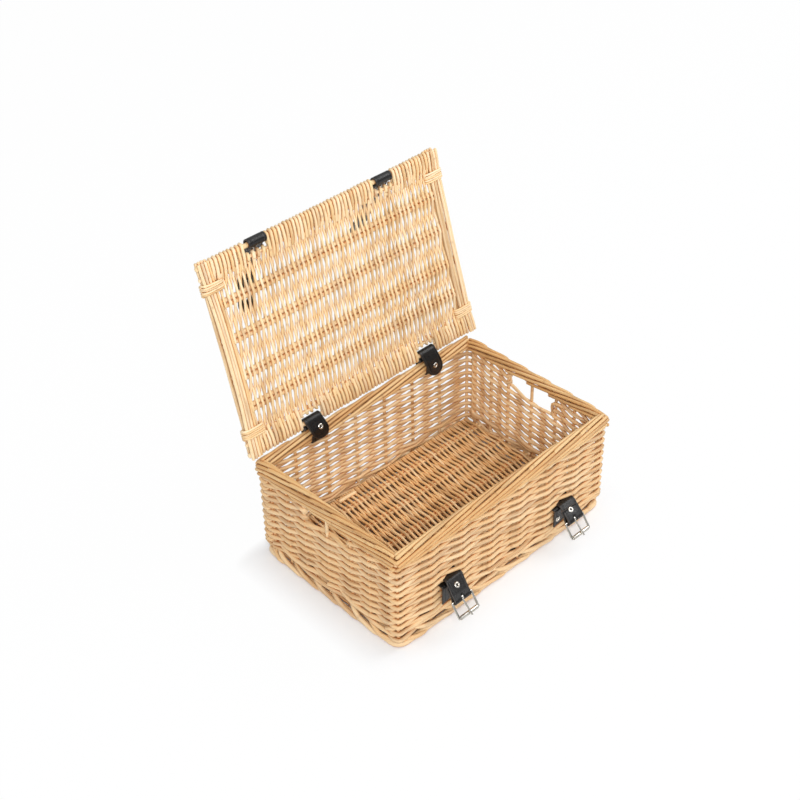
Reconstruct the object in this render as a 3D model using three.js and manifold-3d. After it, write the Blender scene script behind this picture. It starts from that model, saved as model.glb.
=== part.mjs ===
// Wicker hamper basket with a hinged woven lid, leather hinge loops, closure straps and roller buckles.
// Millimetres, +Z up, -Y is the buckle side, +Y the hinge side; the origin is the centre of the underside.
import * as THREE from 'three';
import { mergeVertices } from 'three/addons/utils/BufferGeometryUtils.js';
import Module from 'manifold-3d';

// basket
const BASKET_LENGTH = 360;
const BASKET_WIDTH = 242;
const WALL_THICKNESS = 13;
const WALL_WAIST = 7;
const FOOT_HEIGHT = 12;
const FOOT_OVERHANG = 1;
const WALL_HEIGHT = 120.4;
const RIM_HEIGHT = 13;
const RIM_ROUND = 5;
const STAKE_RADIUS = 2.5;
const CORNER_POST_RADIUS = 3;
const CORNER_POST_INSET = 8.5;
const LONG_STAKES = [-122, -73, -24.4, 24.4, 73, 122];
const END_STAKES = [-99, -70, -40, 0, 40, 70, 99];
const BASE_THICKNESS = 11;
const BASE_WAIST = 6;
const BASE_STICK_HEIGHT = 20.5;
const BASE_STICK_RADIUS = 2.75;
const BASE_STICKS = [-84, -42, 0, 42, 84];
const HAND_HOLE_HALF = 33.5;
const HAND_HOLE_HEIGHT = 32;

// lid
const LID_LENGTH = 376;
const LID_THICKNESS = 13;
const LID_WAIST = 6;
const LID_ROD_SPAN = 237;
const LID_OPEN_DEG = 105;
const HINGE_INSET = 4;
const HINGE_RISE = 11;
const EDGE_ROD_RADIUS = 3.5;
const STICK_RADIUS = 2.75;
const SECOND_ROD_INSET = 13.5;
const LID_STICK_SHARES = [0.231, 0.402, 0.598, 0.786];
const NOTCH_ROLL_RADIUS = 6;
const ROD_PROUD = 1.5;
const BUNDLE_WIDTH = 30;
const BINDING_INSET = 26.5;
const BINDING_WIDTH = 12;
const BINDING_THICKNESS = 1.8;

// leather and metal
const STRAP_WIDTH = 26;
const LEATHER = 2.2;
const HINGE_STRAPS = [-90, 104];
const CLOSURES = [-103, 91];
const BUCKLES = [-97, 98];
const CLOSURE_LENGTH = 110;
const CLOSURE_TIP = 14;
const CLOSURE_LEAN_DEG = 27;
const CLOSURE_RIVET_DROP = 19;
const CLOSURE_HOLES = [58, 70, 82, 94];
const STRAP_HOLE_RADIUS = 2.2;
const RIVET_HEAD_RADIUS = 3.8;
const RIVET_HEAD = 1.2;
const RIVET_TAIL = 0.8;
const RIVET_SHANK_RADIUS = 1.7;
const RIVET_HOLE_RADIUS = 0.9;
const HINGE_FLAP = 16;
const HINGE_FLAP_LEAN_DEG = 39;
const HINGE_RIVET_DROP = 6;
const LACE_HEIGHTS = [62, 56];
const LACE_SPACING = 10.4;
const TAIL_LENGTH = 28;
const TAB_SLOPE_DEG = 37;
const TAB_LENGTH = 27;
const TAB_RIVET = 15.5;
const FRAME_LENGTH = 20;
const FRAME_WIRE_RADIUS = 1.5;
const ROLLER_RADIUS = 2.6;
const PRONG_RADIUS = 1.1;
const PRONG_EYE_WIDTH = 3;
const PRONG_OVERRUN = 3.5;

// clearances
const GAP = 0.3;
const STRAP_SIDE_GAP = 0.8;
const NOTCH_SIDE_GAP = 2;

const wasm = await Module();
wasm.setup();

function solid(geometry) {
  const bare = new THREE.BufferGeometry();
  bare.setAttribute('position', geometry.getAttribute('position'));
  bare.setIndex(geometry.getIndex());
  const merged = mergeVertices(bare, 1e-4);
  return new wasm.Manifold(new wasm.Mesh({
    numProp: 3,
    vertProperties: new Float32Array(merged.getAttribute('position').array),
    triVerts: new Uint32Array(merged.getIndex().array),
  }));
}

function geometryOf(manifold) {
  const mesh = manifold.getMesh();
  const geometry = new THREE.BufferGeometry();
  const positions = new Float32Array((mesh.vertProperties.length / mesh.numProp) * 3);
  for (let i = 0; i < positions.length / 3; i += 1) {
    for (let k = 0; k < 3; k += 1) {
      positions[3 * i + k] = mesh.vertProperties[mesh.numProp * i + k];
    }
  }
  geometry.setAttribute('position', new THREE.BufferAttribute(positions, 3));
  geometry.setIndex(new THREE.BufferAttribute(new Uint32Array(mesh.triVerts), 1));
  const faceted = geometry.toNonIndexed();
  faceted.computeVertexNormals();
  return faceted;
}

function box(x0, x1, y0, y1, z0, z1) {
  const geometry = new THREE.BoxGeometry(x1 - x0, y1 - y0, z1 - z0);
  geometry.translate((x0 + x1) / 2, (y0 + y1) / 2, (z0 + z1) / 2);
  return solid(geometry);
}

function rodX(radius, x0, x1, y, z, sides = 14) {
  const geometry = new THREE.CylinderGeometry(radius, radius, x1 - x0, sides);
  geometry.rotateZ(Math.PI / 2);
  geometry.translate((x0 + x1) / 2, y, z);
  return solid(geometry);
}

function rodZ(radius, z0, z1, x, y, sides = 12) {
  const geometry = new THREE.CylinderGeometry(radius, radius, z1 - z0, sides);
  geometry.rotateX(Math.PI / 2);
  geometry.translate(x, y, (z0 + z1) / 2);
  return solid(geometry);
}

function rodY(radius, y0, y1, x, z, sides = 14) {
  const geometry = new THREE.CylinderGeometry(radius, radius, y1 - y0, sides);
  geometry.translate(x, (y0 + y1) / 2, z);
  return solid(geometry);
}

function outline(points) {
  return new THREE.Shape(points.map(([a, b]) => new THREE.Vector2(a, b)));
}

// a (y, z) outline swept along X
function prismX(points, x0, x1) {
  const geometry = new THREE.ExtrudeGeometry(outline(points), { depth: x1 - x0, bevelEnabled: false });
  const turn = new THREE.Matrix4().makeBasis(
    new THREE.Vector3(0, 1, 0),
    new THREE.Vector3(0, 0, 1),
    new THREE.Vector3(1, 0, 0),
  );
  geometry.applyMatrix4(turn);
  geometry.translate(x0, 0, 0);
  return solid(geometry);
}

// an (x, y) outline swept along Z
function prismZ(points, z0, z1) {
  const geometry = new THREE.ExtrudeGeometry(outline(points), { depth: z1 - z0, bevelEnabled: false });
  geometry.translate(0, 0, z0);
  return solid(geometry);
}

// an (x, z) outline swept along Y
function prismY(points, y0, y1) {
  const geometry = new THREE.ExtrudeGeometry(outline(points), { depth: y1 - y0, bevelEnabled: false });
  geometry.rotateX(Math.PI / 2);
  geometry.translate(0, y1, 0);
  return solid(geometry);
}

function arc(cx, cy, radius, fromDeg, toDeg, steps) {
  const points = [];
  for (let i = 0; i <= steps; i += 1) {
    const angle = THREE.MathUtils.degToRad(fromDeg + ((toDeg - fromDeg) * i) / steps);
    points.push([cx + radius * Math.cos(angle), cy + radius * Math.sin(angle)]);
  }
  return points;
}

function roundedRectangle(halfX, halfY, radius, steps = 4) {
  return [
    ...arc(halfX - radius, -halfY + radius, radius, -90, 0, steps),
    ...arc(halfX - radius, halfY - radius, radius, 0, 90, steps),
    ...arc(-halfX + radius, halfY - radius, radius, 90, 180, steps),
    ...arc(-halfX + radius, -halfY + radius, radius, 180, 270, steps),
  ];
}

// a polyline with each inner corner turned into an arc
function rounded(points, radius, steps = 4) {
  const path = [points[0]];
  for (let i = 1; i < points.length - 1; i += 1) {
    const corner = new THREE.Vector2(...points[i]);
    const back = new THREE.Vector2(...points[i - 1]).sub(corner).normalize();
    const ahead = new THREE.Vector2(...points[i + 1]).sub(corner).normalize();
    const half = Math.acos(THREE.MathUtils.clamp(back.dot(ahead), -1, 1)) / 2;
    const reach = radius / Math.tan(half);
    const start = corner.clone().addScaledVector(back, reach);
    const end = corner.clone().addScaledVector(ahead, reach);
    for (let k = 0; k <= steps; k += 1) {
      const t = k / steps;
      const a = start.clone().lerp(corner, t);
      const b = corner.clone().lerp(end, t);
      const point = a.lerp(b, t);
      path.push([point.x, point.y]);
    }
  }
  path.push(points[points.length - 1]);
  return path;
}

// the outline of a woven panel along s: full thickness at each rod it is woven round, waisted midway between
function wovenOutline(from, to, rods, full, waist, steps = 6) {
  const face = [[from, full / 2]];
  for (let i = 0; i < rods.length - 1; i += 1) {
    for (let k = 0; k < steps; k += 1) {
      const half = (full + waist + (full - waist) * Math.cos((2 * Math.PI * k) / steps)) / 4;
      face.push([rods[i] + ((rods[i + 1] - rods[i]) * k) / steps, half]);
    }
  }
  face.push([rods[rods.length - 1], full / 2], [to, full / 2]);
  return [...face.map(([s, half]) => [s, -half]), ...face.reverse()];
}

// the outline of a strip of leather whose middle follows a path in (y, z)
function strip(path, thickness) {
  const left = [];
  const right = [];
  for (let i = 0; i < path.length; i += 1) {
    const before = new THREE.Vector2(...path[Math.max(i - 1, 0)]);
    const here = new THREE.Vector2(...path[i]);
    const after = new THREE.Vector2(...path[Math.min(i + 1, path.length - 1)]);
    const along = after.sub(before).normalize();
    const normal = new THREE.Vector2(-along.y, along.x).multiplyScalar(thickness / 2);
    left.push([here.x + normal.x, here.y + normal.y]);
    right.push([here.x - normal.x, here.y - normal.y]);
  }
  return [...right, ...left.reverse()];
}

// a strap's loop round a rod at (0, 0): both layers run down -Z and meet below the throat
function loopPath(radius, throat, layer) {
  const reach = Math.hypot(layer, throat);
  const tangent = THREE.MathUtils.radToDeg(Math.atan2(-throat, layer) + Math.acos(radius / reach));
  const round = arc(0, 0, radius, tangent, 180 - tangent, 14);
  return [[layer, -throat], ...round, [-layer, -throat]];
}

function turned(points, deg, y, z) {
  const c = Math.cos(THREE.MathUtils.degToRad(deg));
  const s = Math.sin(THREE.MathUtils.degToRad(deg));
  return points.map(([a, b]) => [y + a * c - b * s, z + a * s + b * c]);
}

function union(pieces) {
  return pieces.slice(1).reduce((whole, piece) => whole.add(piece), pieces[0]);
}

function cut(body, tools) {
  return tools.reduce((left, tool) => left.subtract(tool), body);
}

// a rivet along Y whose head faces -Y and whose shank crosses the given thickness
function rivetSolid(thickness) {
  const front = -thickness / 2 - GAP;
  const back = thickness / 2 + GAP;
  const head = rodY(RIVET_HEAD_RADIUS, front - RIVET_HEAD, front, 0, 0, 16);
  const tail = rodY(RIVET_HEAD_RADIUS - 0.4, back, back + RIVET_TAIL, 0, 0, 16);
  const shank = rodY(RIVET_SHANK_RADIUS, front - 0.1, back + 0.1, 0, 0, 10);
  const hollow = rodY(RIVET_HOLE_RADIUS, front - RIVET_HEAD - 1, back - 1, 0, 0, 10);
  return union([head, tail, shank]).subtract(hollow);
}

function rivetBore(x, y, z, deg, reach) {
  const geometry = new THREE.CylinderGeometry(
    RIVET_SHANK_RADIUS + GAP,
    RIVET_SHANK_RADIUS + GAP,
    2 * reach,
    10,
  );
  geometry.rotateX(THREE.MathUtils.degToRad(deg));
  geometry.translate(x, y, z);
  return solid(geometry);
}

const willow = { color: 0xd9ab66, roughness: 0.62, metalness: 0 };
const willowDark = { color: 0xb98447, roughness: 0.66, metalness: 0 };
const leather = { color: 0x1b1a1c, roughness: 0.45, metalness: 0 };
const nickel = { color: 0xc9c9c6, roughness: 0.24, metalness: 1 };

const group = new THREE.Group();
group.name = 'wicker_hamper_basket';

function place(name, manifold, finish, y = 0, z = 0, deg = 0, x = 0) {
  const mesh = new THREE.Mesh(geometryOf(manifold), new THREE.MeshStandardMaterial(finish));
  mesh.name = name;
  const holder = new THREE.Group();
  holder.position.set(x, y, z);
  holder.rotation.x = THREE.MathUtils.degToRad(deg);
  holder.add(mesh);
  group.add(holder);
}

const sideName = (x) => (x < 0 ? 'left' : 'right');

// basket levels and faces
const halfLength = BASKET_LENGTH / 2;
const halfWidth = BASKET_WIDTH / 2;
const innerX = halfLength - WALL_THICKNESS;
const innerY = halfWidth - WALL_THICKNESS;
const wallBottom = FOOT_HEIGHT + GAP;
const wallTop = wallBottom + WALL_HEIGHT;
const rimBottom = wallTop + GAP;
const rimTop = rimBottom + RIM_HEIGHT;
const stakeFoot = wallBottom + GAP;
const wallMiddleX = halfLength - WALL_THICKNESS / 2;
const wallMiddleY = halfWidth - WALL_THICKNESS / 2;
const plan = roundedRectangle(halfLength, halfWidth, WALL_THICKNESS);

// base
const baseX = innerX - GAP;
const baseY = innerY - GAP;
const baseRods = [-baseY + BASE_THICKNESS, ...BASE_STICKS, baseY - BASE_THICKNESS];
const baseOutline = wovenOutline(-baseY, baseY, baseRods, BASE_THICKNESS, BASE_WAIST);
const basePlate = prismX(baseOutline, -baseX, baseX).translate([0, 0, BASE_STICK_HEIGHT]);
const baseBores = BASE_STICKS.map((y) => (
  rodX(BASE_STICK_RADIUS + GAP, -baseX - 1, baseX + 1, y, BASE_STICK_HEIGHT)
));
place('base_panel', cut(basePlate, baseBores), willowDark);
BASE_STICKS.forEach((y, i) => {
  place(`base_stick_${i + 1}`, rodX(BASE_STICK_RADIUS, -baseX, baseX, y, BASE_STICK_HEIGHT), willow);
});

const footOuter = roundedRectangle(
  halfLength + FOOT_OVERHANG,
  halfWidth + FOOT_OVERHANG,
  WALL_THICKNESS + FOOT_OVERHANG,
);
const footHole = box(-innerX, innerX, -innerY, innerY, -1, FOOT_HEIGHT + 1);
place('foot_wale', prismZ(footOuter, 0, FOOT_HEIGHT).subtract(footHole), willow);

// walls with stake bores, hand holes and strap slots
const planBlock = prismZ(plan, wallBottom, wallTop);
const postX = halfLength - CORNER_POST_INSET;
const postY = halfWidth - CORNER_POST_INSET;
const slotHalf = STRAP_WIDTH / 2 + STRAP_SIDE_GAP;
const slotHeight = LEATHER + 4 * GAP;

function stakeBores(stakes, at) {
  return stakes.map((s) => rodZ(STAKE_RADIUS + GAP, wallBottom - 1, wallTop + 1, ...at(s)));
}

// laced are the places where a strap goes through the wall, which is at its full thickness there too
function longWall(side, laced, tools) {
  const ridges = [-postX, ...LONG_STAKES, ...laced, postX].sort((a, b) => a - b);
  const band = prismZ(
    wovenOutline(-halfLength, halfLength, ridges, WALL_THICKNESS, WALL_WAIST),
    wallBottom,
    wallTop,
  ).translate([0, side * wallMiddleY, 0]);
  const posts = [-1, 1].map((s) => (
    rodZ(CORNER_POST_RADIUS + GAP, wallBottom - 1, wallTop + 1, s * postX, side * postY)
  ));
  const bores = stakeBores(LONG_STAKES, (s) => [s, side * wallMiddleY]);
  return cut(planBlock.intersect(band), [...posts, ...bores, ...tools]);
}

const laceLevels = LACE_HEIGHTS.map((height) => [height - LACE_SPACING / 2, height + LACE_SPACING / 2]);
const laceSlots = BUCKLES.flatMap((x, i) => laceLevels[i].map((z) => (
  box(x - slotHalf, x + slotHalf, -halfWidth - 2, -innerY + 1, z - slotHeight / 2, z + slotHeight / 2)
)));
const hingeSlots = HINGE_STRAPS.map((x) => (
  box(x - slotHalf, x + slotHalf, innerY - 1, halfWidth + 2, wallTop - slotHeight, wallTop + 2)
));
place('front_wall', longWall(-1, BUCKLES, laceSlots), willow);
place('back_wall', longWall(1, [], hingeSlots), willow);

for (const side of [-1, 1]) {
  const x0 = side < 0 ? -halfLength : innerX;
  const half = innerY - GAP;
  const plate = prismZ(
    wovenOutline(-half, half, END_STAKES, WALL_THICKNESS, WALL_WAIST),
    wallBottom,
    wallTop,
  ).rotate([0, 0, 90]).translate([side * wallMiddleX, 0, 0]);
  const hole = box(
    x0 - 1,
    x0 + WALL_THICKNESS + 1,
    -HAND_HOLE_HALF,
    HAND_HOLE_HALF,
    wallTop - HAND_HOLE_HEIGHT,
    wallTop + 1,
  );
  const bores = stakeBores(END_STAKES, (s) => [side * wallMiddleX, s]);
  place(`${sideName(side)}_wall`, cut(plate, [hole, ...bores]), willow);
}

for (const sy of [-1, 1]) {
  for (const sx of [-1, 1]) {
    const end = sy < 0 ? 'front' : 'back';
    const post = rodZ(CORNER_POST_RADIUS, stakeFoot, wallTop, sx * postX, sy * postY);
    place(`corner_post_${end}_${sideName(sx)}`, post, willow);
  }
}

// rims: each border rail with the stakes that were turned down to form it
const railProfile = [
  [-WALL_THICKNESS / 2, rimBottom],
  [WALL_THICKNESS / 2, rimBottom],
  ...arc(WALL_THICKNESS / 2 - RIM_ROUND, rimTop - RIM_ROUND, RIM_ROUND, 0, 90, 4),
  ...arc(-WALL_THICKNESS / 2 + RIM_ROUND, rimTop - RIM_ROUND, RIM_ROUND, 90, 180, 4),
];
const rimBlock = prismZ(plan, rimBottom - 1, rimTop + 1);
const stakeTop = rimBottom + RIM_HEIGHT / 2;

for (const side of [-1, 1]) {
  const profile = railProfile.map(([y, z]) => [y + side * wallMiddleY, z]);
  const rail = prismX(profile, -halfLength - 1, halfLength + 1).intersect(rimBlock);
  const stakes = LONG_STAKES.map((x) => rodZ(STAKE_RADIUS, stakeFoot, stakeTop, x, side * wallMiddleY));
  place(`${side < 0 ? 'front' : 'back'}_rim_and_stakes`, union([rail, ...stakes]), willow);
}
for (const side of [-1, 1]) {
  const half = innerY - GAP;
  const rail = prismX(railProfile, -half, half).rotate([0, 0, 90]).translate([side * wallMiddleX, 0, 0]);
  const stakes = END_STAKES.map((y) => rodZ(STAKE_RADIUS, stakeFoot, stakeTop, side * wallMiddleX, y));
  place(`${sideName(side)}_rim_and_stakes`, union([rail, ...stakes]), willow);
}

// lid, drawn closed with the hinge rod at (0, 0) and turned open about it
const hingeY = halfWidth - HINGE_INSET;
const hingeZ = rimTop + HINGE_RISE;
const lidHalf = LID_LENGTH / 2;
const lidRound = LID_THICKNESS / 2;
const lidProfile = [
  ...arc(-LID_ROD_SPAN, 0, lidRound, 90, 270, 8),
  ...arc(0, 0, lidRound, -90, 90, 8),
];
const secondRods = [SECOND_ROD_INSET, LID_ROD_SPAN - SECOND_ROD_INSET];
const lidSticks = LID_STICK_SHARES.map((share) => share * LID_ROD_SPAN);
const lidBores = [
  ...[0, LID_ROD_SPAN].map((u) => rodX(EDGE_ROD_RADIUS + GAP, -lidHalf - 2, lidHalf + 2, -u, 0)),
  ...[...secondRods, ...lidSticks].map((u) => rodX(STICK_RADIUS + GAP, -lidHalf - 2, lidHalf + 2, -u, 0)),
];
const notchHalf = STRAP_WIDTH / 2 + NOTCH_SIDE_GAP;

// an opening in the lid's edge where the weavers turn round the second rod and leave the edge rod bare
function lidNotch(x, second, outward) {
  const x0 = x - notchHalf;
  const x1 = x + notchHalf;
  const edge = second + outward * (SECOND_ROD_INSET + LID_THICKNESS);
  const [near, far] = [Math.min(second, edge), Math.max(second, edge)];
  const opening = box(x0, x1, -far, -near, -LID_THICKNESS, LID_THICKNESS);
  return opening.subtract(rodX(NOTCH_ROLL_RADIUS, x0 - 1, x1 + 1, -second, 0, 14));
}

const placeOnLid = (name, manifold, finish) => place(name, manifold, finish, hingeY, hingeZ, -LID_OPEN_DEG);
const panelX = lidHalf - BUNDLE_WIDTH - GAP;
const lidNotches = [
  ...HINGE_STRAPS.map((x) => lidNotch(x, secondRods[0], -1)),
  ...CLOSURES.map((x) => lidNotch(x, secondRods[1], 1)),
];
const lidRidges = [secondRods[0], ...lidSticks, secondRods[1]].map((u) => -u).reverse();
const lidWave = wovenOutline(-LID_ROD_SPAN - lidRound, lidRound, lidRidges, LID_THICKNESS, LID_WAIST);
const lidWeave = prismX(lidProfile, -panelX, panelX).intersect(prismX(lidWave, -panelX - 1, panelX + 1));
placeOnLid('lid_panel', cut(lidWeave, [...lidBores, ...lidNotches]), willow);

const lidRod = (radius, u) => rodX(radius, -lidHalf - ROD_PROUD, lidHalf + ROD_PROUD, -u, 0);
placeOnLid('lid_back_rod', lidRod(EDGE_ROD_RADIUS, 0), willow);
placeOnLid('lid_front_rod', lidRod(EDGE_ROD_RADIUS, LID_ROD_SPAN), willow);
placeOnLid('lid_back_second_rod', lidRod(STICK_RADIUS, secondRods[0]), willow);
placeOnLid('lid_front_second_rod', lidRod(STICK_RADIUS, secondRods[1]), willow);
lidSticks.forEach((u, i) => {
  placeOnLid(`lid_stick_${i + 1}`, lidRod(STICK_RADIUS, u), willow);
});

const bindings = [BINDING_INSET, LID_ROD_SPAN - BINDING_INSET];
const neck = BINDING_THICKNESS + GAP;
for (const side of [-1, 1]) {
  const x0 = side < 0 ? -lidHalf : lidHalf - BUNDLE_WIDTH;
  const x1 = x0 + BUNDLE_WIDTH;
  const waists = bindings.map((u) => {
    const u0 = u - BINDING_WIDTH / 2 - GAP;
    const u1 = u + BINDING_WIDTH / 2 + GAP;
    const around = box(x0 - 1, x1 + 1, -u1, -u0, -LID_THICKNESS, LID_THICKNESS);
    return around.subtract(box(x0 + neck, x1 - neck, -u1 - 1, -u0 + 1, -lidRound + neck, lidRound - neck));
  });
  const bundle = cut(prismX(lidProfile, x0, x1), [...lidBores, ...waists]);
  placeOnLid(`lid_side_bundle_${sideName(side)}`, bundle, willow);
  bindings.forEach((u, i) => {
    const u0 = u - BINDING_WIDTH / 2;
    const u1 = u + BINDING_WIDTH / 2;
    const inset = neck - GAP;
    const ring = box(x0, x1, -u1, -u0, -lidRound, lidRound)
      .subtract(box(x0 + inset, x1 - inset, -u1 - 1, -u0 + 1, -lidRound + inset, lidRound - inset));
    placeOnLid(`lid_binding_${i === 0 ? 'back' : 'front'}_${sideName(side)}`, ring, willow);
  });
}

// hinge straps: a loop round the lid's back rod, a flap over the rim, and a layer laced under the rim
const loopRadius = EDGE_ROD_RADIUS + GAP + LEATHER / 2;
const flapThroat = loopRadius + LEATHER + GAP;
const flapTop = turned([[-LEATHER / 2, -flapThroat]], -HINGE_FLAP_LEAN_DEG, hingeY, hingeZ)[0];
const rimInside = innerY - GAP - LEATHER;
const flapKnee = [rimInside - LEATHER / 2 - GAP, rimTop - RIM_ROUND + GAP];
const flapPath = rounded([
  flapTop,
  flapKnee,
  [rimInside - LEATHER - GAP, rimTop - RIM_ROUND - HINGE_FLAP],
], 2);
const backTop = turned([[LEATHER / 2, -flapThroat]], -HINGE_FLAP_LEAN_DEG, hingeY, hingeZ)[0];
const crown = rimTop + GAP + LEATHER / 2;
const outside = halfWidth + GAP + LEATHER / 2;
const slotMiddle = wallTop - slotHeight / 2;
const tailInside = innerY - GAP - LEATHER / 2;
const lacePath = rounded([
  backTop,
  [backTop[0] + LEATHER, crown],
  [outside - RIM_ROUND / 2, crown],
  [outside, rimTop - RIM_ROUND / 2],
  [outside, slotMiddle],
  [tailInside, slotMiddle],
  [tailInside, slotMiddle - HINGE_FLAP / 2],
], LEATHER / 2 + 0.2);
const flapDrop = new THREE.Vector2(flapKnee[0] - flapTop[0], flapKnee[1] - flapTop[1]).normalize();
const flapDeg = THREE.MathUtils.radToDeg(Math.atan2(flapDrop.x, -flapDrop.y));
const flapRivet = [
  flapTop[0] + HINGE_RIVET_DROP * flapDrop.x,
  flapTop[1] + HINGE_RIVET_DROP * flapDrop.y,
];

for (const x of HINGE_STRAPS) {
  const x0 = x - STRAP_WIDTH / 2;
  const x1 = x + STRAP_WIDTH / 2;
  const ring = loopPath(loopRadius, flapThroat, LEATHER / 2 - 0.05);
  const loop = turned(ring, -HINGE_FLAP_LEAN_DEG, hingeY, hingeZ);
  const band = union([
    prismX(strip(loop, LEATHER), x0, x1),
    prismX(strip(flapPath, LEATHER), x0, x1),
    prismX(strip(lacePath, LEATHER), x0, x1),
  ]);
  const bore = rivetBore(x, flapRivet[0], flapRivet[1], flapDeg, LEATHER);
  place(`hinge_strap_${sideName(x)}`, band.subtract(bore), leather);
  place(`hinge_rivet_${sideName(x)}`, rivetSolid(LEATHER), nickel, ...flapRivet, flapDeg, x);
}

// closure straps: a loop round the lid's front rod, drawn hanging along -Z
const openDirection = THREE.MathUtils.degToRad(180 - LID_OPEN_DEG);
const frontRodY = hingeY - LID_ROD_SPAN * Math.cos(Math.PI - openDirection);
const frontRodZ = hingeZ + LID_ROD_SPAN * Math.sin(openDirection);
const halfStrap = STRAP_WIDTH / 2;
const closureOutline = [
  [-halfStrap, 2 * loopRadius],
  [-halfStrap, -CLOSURE_LENGTH + CLOSURE_TIP],
  [-halfStrap * 0.5, -CLOSURE_LENGTH + CLOSURE_TIP * 0.25],
  [0, -CLOSURE_LENGTH],
  [halfStrap * 0.5, -CLOSURE_LENGTH + CLOSURE_TIP * 0.25],
  [halfStrap, -CLOSURE_LENGTH + CLOSURE_TIP],
  [halfStrap, 2 * loopRadius],
];
const closureThroat = loopRadius + 1.5 * LEATHER;
const doubled = CLOSURE_RIVET_DROP + 2 * RIVET_HEAD_RADIUS;
const closureLoop = loopPath(loopRadius, closureThroat, LEATHER / 2 - 0.05);
for (const x of CLOSURES) {
  const layers = union([
    prismX(strip(closureLoop, LEATHER), -halfStrap, halfStrap),
    box(-halfStrap, halfStrap, -LEATHER, 0.05, -doubled, -closureThroat + 0.2),
    box(-halfStrap, halfStrap, -0.05, LEATHER, -CLOSURE_LENGTH, -closureThroat + 0.2),
  ]);
  const bores = CLOSURE_HOLES.map((drop) => rodY(STRAP_HOLE_RADIUS, -2 * LEATHER, 2 * LEATHER, 0, -drop));
  const shaped = layers.intersect(prismY(closureOutline, -2 * loopRadius, 2 * loopRadius));
  const strap = cut(shaped, [...bores, rivetBore(0, 0, -CLOSURE_RIVET_DROP, 0, 4 * LEATHER)]);
  place(`closure_strap_${sideName(x)}`, strap, leather, frontRodY, frontRodZ, CLOSURE_LEAN_DEG, x);
  const rivet = rivetSolid(2 * LEATHER).translate([0, 0, -CLOSURE_RIVET_DROP]);
  place(`closure_rivet_${sideName(x)}`, rivet, nickel, frontRodY, frontRodZ, CLOSURE_LEAN_DEG, x);
}

// buckle straps: laced round a bar of the front wall, with a tail on the wall and a tab folded round the bar
const tabDown = [
  -Math.sin(THREE.MathUtils.degToRad(TAB_SLOPE_DEG)),
  -Math.cos(THREE.MathUtils.degToRad(TAB_SLOPE_DEG)),
];
const tabRootY = -halfWidth - LEATHER;
const barY = tabRootY + TAB_LENGTH * tabDown[0];
const barLoop = FRAME_WIRE_RADIUS + GAP + LEATHER / 2;
const tabThroat = barLoop + 1.5 * LEATHER;
const tailY = -halfWidth - GAP - LEATHER / 2;
const insideY = -innerY + GAP + LEATHER / 2;

// the strap's strips and rivet place, for a strap laced through the wall at two levels
function buckleStrapPaths([laceLow, laceHigh]) {
  const barZ = laceHigh + TAB_LENGTH * tabDown[1];
  const onTab = (points) => turned(points, -TAB_SLOPE_DEG, barY, barZ);
  const lace = rounded([
    [tailY, laceLow - TAIL_LENGTH],
    [tailY, laceLow],
    [insideY, laceLow],
    [insideY, laceHigh],
    [tabRootY, laceHigh],
    onTab([[-LEATHER / 2, tabThroat]])[0],
  ], LEATHER / 2 + 0.2);
  const fold = onTab(loopPath(barLoop, tabThroat, LEATHER / 2 - 0.05).map(([a, b]) => [a, -b]));
  const under = onTab([
    [LEATHER / 2 - 0.05, tabThroat - 0.3],
    [LEATHER / 2 - 0.05, TAB_RIVET + 1.6 * RIVET_HEAD_RADIUS],
  ]);
  return { barZ, strips: [lace, fold, under], rivet: onTab([[0, TAB_RIVET]])[0] };
}

const frameInner = STRAP_WIDTH / 2 + STRAP_SIDE_GAP;
const frameSide = frameInner + FRAME_WIRE_RADIUS;

function ball(x, y, z) {
  const geometry = new THREE.SphereGeometry(FRAME_WIRE_RADIUS, 12, 6);
  geometry.translate(x, y, z);
  return solid(geometry);
}

// the frame hangs along -Z from its strap bar at (0, 0)
const frameSolid = union([
  rodX(FRAME_WIRE_RADIUS, -frameSide, frameSide, 0, 0, 12),
  rodX(FRAME_WIRE_RADIUS, -frameSide, frameSide, 0, -FRAME_LENGTH, 12),
  ...[-frameSide, frameSide].map((x) => rodZ(FRAME_WIRE_RADIUS, -FRAME_LENGTH, 0, x, 0)),
  ...[-frameSide, frameSide].flatMap((x) => [ball(x, 0, 0), ball(x, 0, -FRAME_LENGTH)]),
]);
const rollerHalf = frameInner - GAP;
const rollerSolid = rodX(ROLLER_RADIUS, -rollerHalf, rollerHalf, 0, -FRAME_LENGTH, 16)
  .subtract(rodX(FRAME_WIRE_RADIUS + GAP, -rollerHalf - 1, rollerHalf + 1, 0, -FRAME_LENGTH, 16));
const eyeRadius = FRAME_WIRE_RADIUS + GAP + PRONG_RADIUS;
const prongRise = ROLLER_RADIUS + GAP + PRONG_RADIUS;
const prongLean = THREE.MathUtils.radToDeg(Math.asin(prongRise / FRAME_LENGTH));
const prongShaft = rodZ(PRONG_RADIUS, -FRAME_LENGTH - PRONG_OVERRUN, -eyeRadius + 0.6, 0, 0, 12)
  .rotate([-prongLean, 0, 0]);
const prongSolid = rodX(eyeRadius, -PRONG_EYE_WIDTH / 2, PRONG_EYE_WIDTH / 2, 0, 0, 16)
  .add(prongShaft)
  .subtract(rodX(FRAME_WIRE_RADIUS + GAP, -PRONG_EYE_WIDTH, PRONG_EYE_WIDTH, 0, 0, 16));
const slotSide = PRONG_EYE_WIDTH / 2 + STRAP_SIDE_GAP;

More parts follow.
